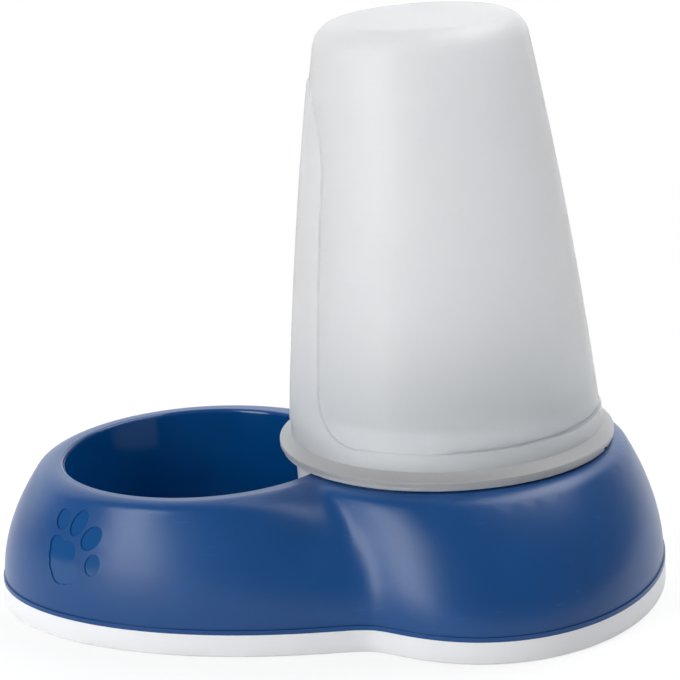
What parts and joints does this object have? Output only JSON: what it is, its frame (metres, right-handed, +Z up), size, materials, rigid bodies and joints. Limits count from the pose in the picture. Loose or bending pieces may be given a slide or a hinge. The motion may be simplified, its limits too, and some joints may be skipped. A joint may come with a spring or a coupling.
{
  "type": "pet water dispenser",
  "caption": "Gravity pet water dispenser: a waisted base with a drinking bowl and a tank well, a soft foot ring, and an upturned frosted tank on a closure with an outlet valve.",
  "frame": {"origin": "centre of the bounding box's bottom face, on the floor", "axes": "+X from the drinking bowl to the tank, -Y to the side with the paw print, +Z up"},
  "size_m": [0.301, 0.2204, 0.2572],
  "materials": {
    "base_plastic": "satin blue outside, glossy in the bowl",
    "ring_rubber": "matte white soft plastic",
    "tank_plastic": "frosted, lets light through",
    "closure_plastic": "frosted, lets light through",
    "seal_rubber": "soft, matte, milky",
    "valve_plastic": "moulded, satin",
    "spring_steel": "drawn wire"
  },
  "bodies": {
    "base": {"base_shell": "base_plastic", "anti_slip_ring": "ring_rubber"},
    "closure_body": {"closure": "closure_plastic", "closure_seal": "seal_rubber"},
    "tank": {"reservoir": "tank_plastic"},
    "valve": {"valve_stem": "valve_plastic", "valve_cap": "valve_plastic", "valve_washer": "seal_rubber", "valve_spring": "spring_steel"}
  },
  "joints": [
    {"name": "reservoir_lift", "type": "slide", "parent": "base", "child": "closure_body", "axis": [0, 0, 1], "range_m": [0, 0.08]},
    {"name": "closure_pull", "type": "slide", "parent": "closure_body", "child": "tank", "axis": [0, 0, 1], "range_m": [0, 0.03]},
    {"name": "valve_travel", "type": "slide", "parent": "closure_body", "child": "valve", "axis": [0, 0, 1], "range_m": [-0.006, 0], "deforming": ["valve_spring"]}
  ],
  "couplings": [
    {"joint": "valve_travel", "follows": "reservoir_lift", "ratio": -0.075}
  ]
}
